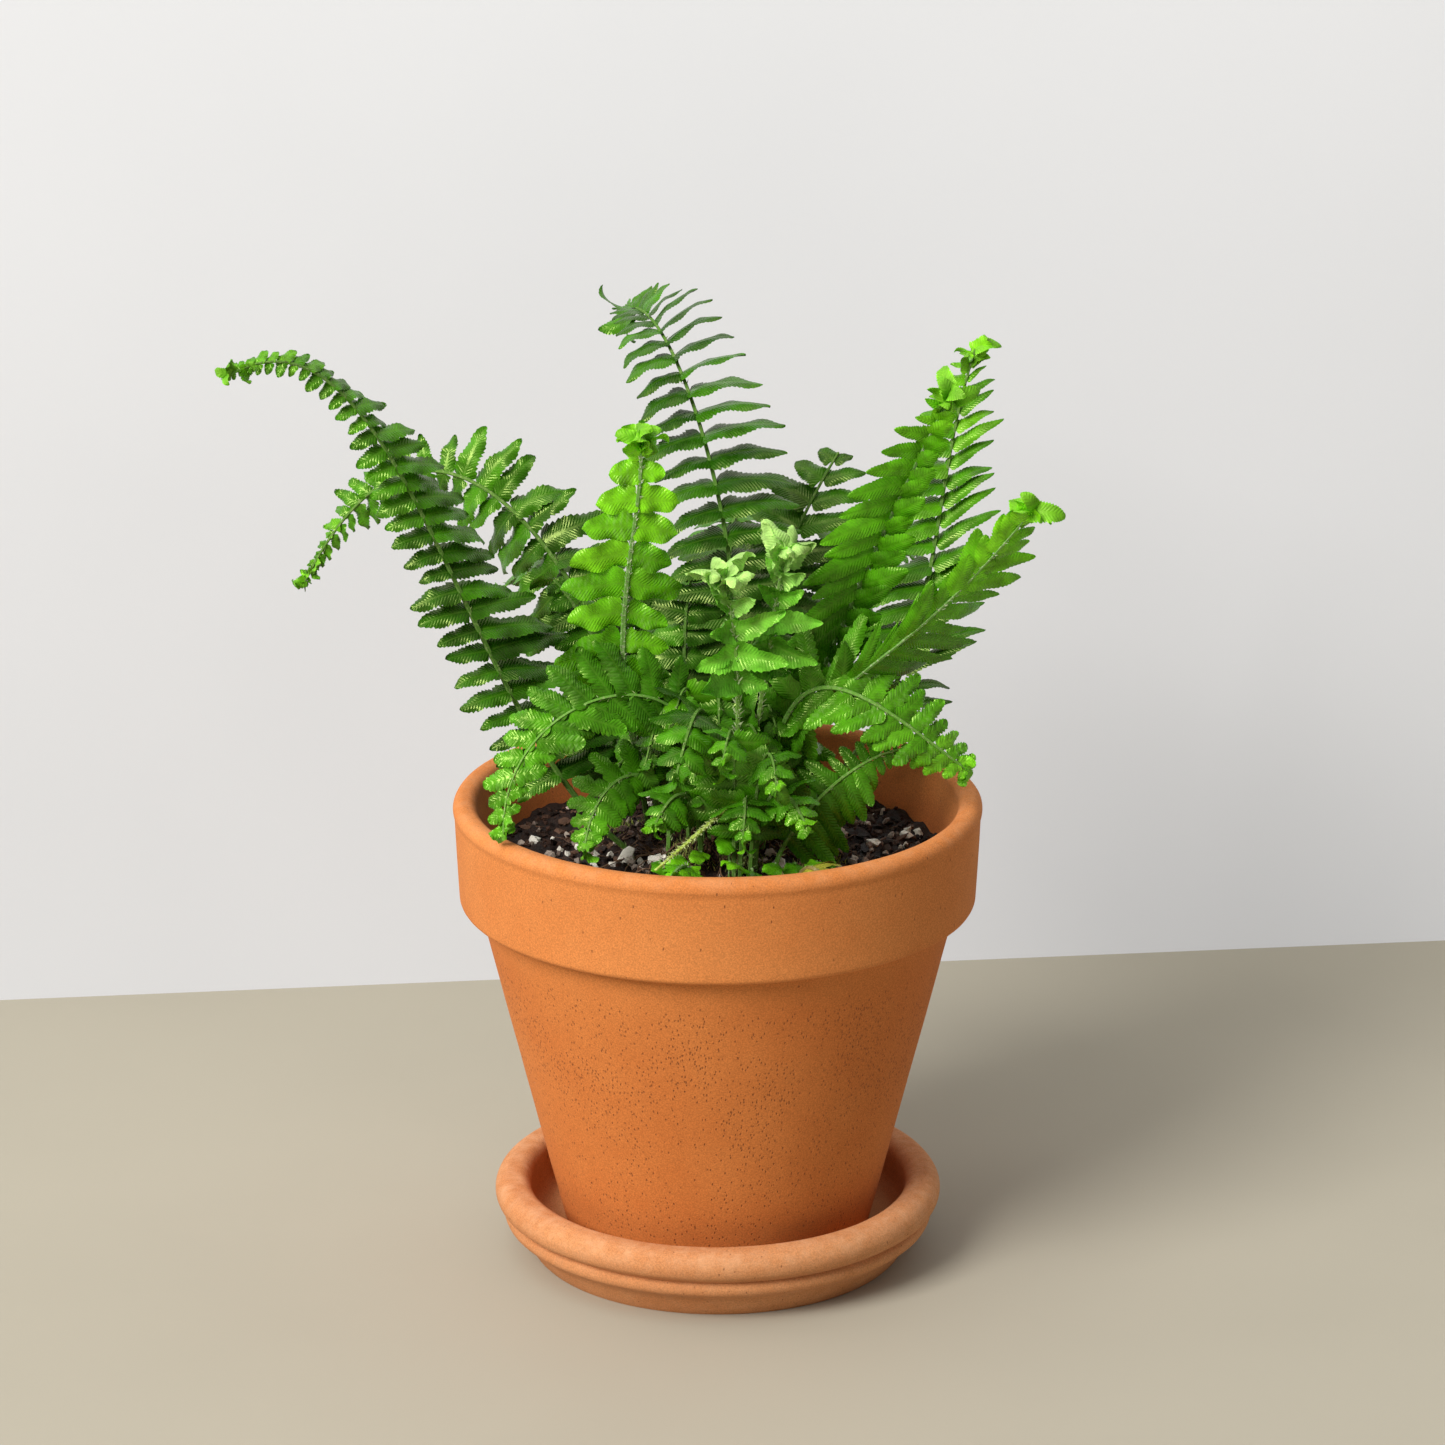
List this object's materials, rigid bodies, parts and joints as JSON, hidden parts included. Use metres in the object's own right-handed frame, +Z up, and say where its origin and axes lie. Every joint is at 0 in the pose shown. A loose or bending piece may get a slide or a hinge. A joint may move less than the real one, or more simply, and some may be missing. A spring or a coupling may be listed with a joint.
{
  "type": "potted fern",
  "caption": "Young sword fern with toothed arching fronds in a tapered terracotta pot with a collar, standing on a round terracotta saucer.",
  "frame": {"origin": "on the pot's axis at the underside of the saucer", "axes": "+Z up along the pot's axis, +Y away from the viewer, +X to the viewer's right"},
  "size_m": [0.1919, 0.1533, 0.2381],
  "materials": {
    "pot_clay": "unglazed matte terracotta with fine pores",
    "saucer_clay": "unglazed matte terracotta, paler and dusty on the lip",
    "soil": "moist dark potting mix with perlite",
    "leaf_mature": "dark green leaflets with a waxy sheen, pale midribs and forked veins",
    "leaf_young": "bright yellow-green young leaflets, light shows through them",
    "leaf_pale": "pale lime unrolling tips and stems with short whitish hairs",
    "leaf_yellow": "yellowing old leaflets"
  },
  "bodies": {
    "root": {"saucer": "saucer_clay", "pot": "pot_clay", "soil": "soil", "frond_tall_back": "leaf_mature", "frond_left_arch": "leaf_mature", "frond_young_front": "leaf_young", "frond_right_rising": "leaf_young", "frond_right_back": "leaf_mature", "frond_far_right": "leaf_young", "frond_left_hanging": "leaf_mature", "frond_low_left": "leaf_mature", "frond_low_right": "leaf_mature", "frond_inside_right": "leaf_mature", "frond_inside_left": "leaf_mature", "frond_unrolling": "leaf_pale", "frond_crozier": "leaf_pale", "frond_middle_back": "leaf_mature", "frond_behind_right": "leaf_mature", "frond_behind_left": "leaf_mature", "frond_low_middle": "leaf_mature", "frond_low_front": "leaf_mature", "frond_front_right": "leaf_mature", "frond_back_left": "leaf_mature", "frond_back": "leaf_mature", "frond_back_right": "leaf_mature", "frond_small_front": "leaf_young", "frond_yellowed": "leaf_yellow", "spent_stem": "leaf_pale"}
  },
  "joints": []
}
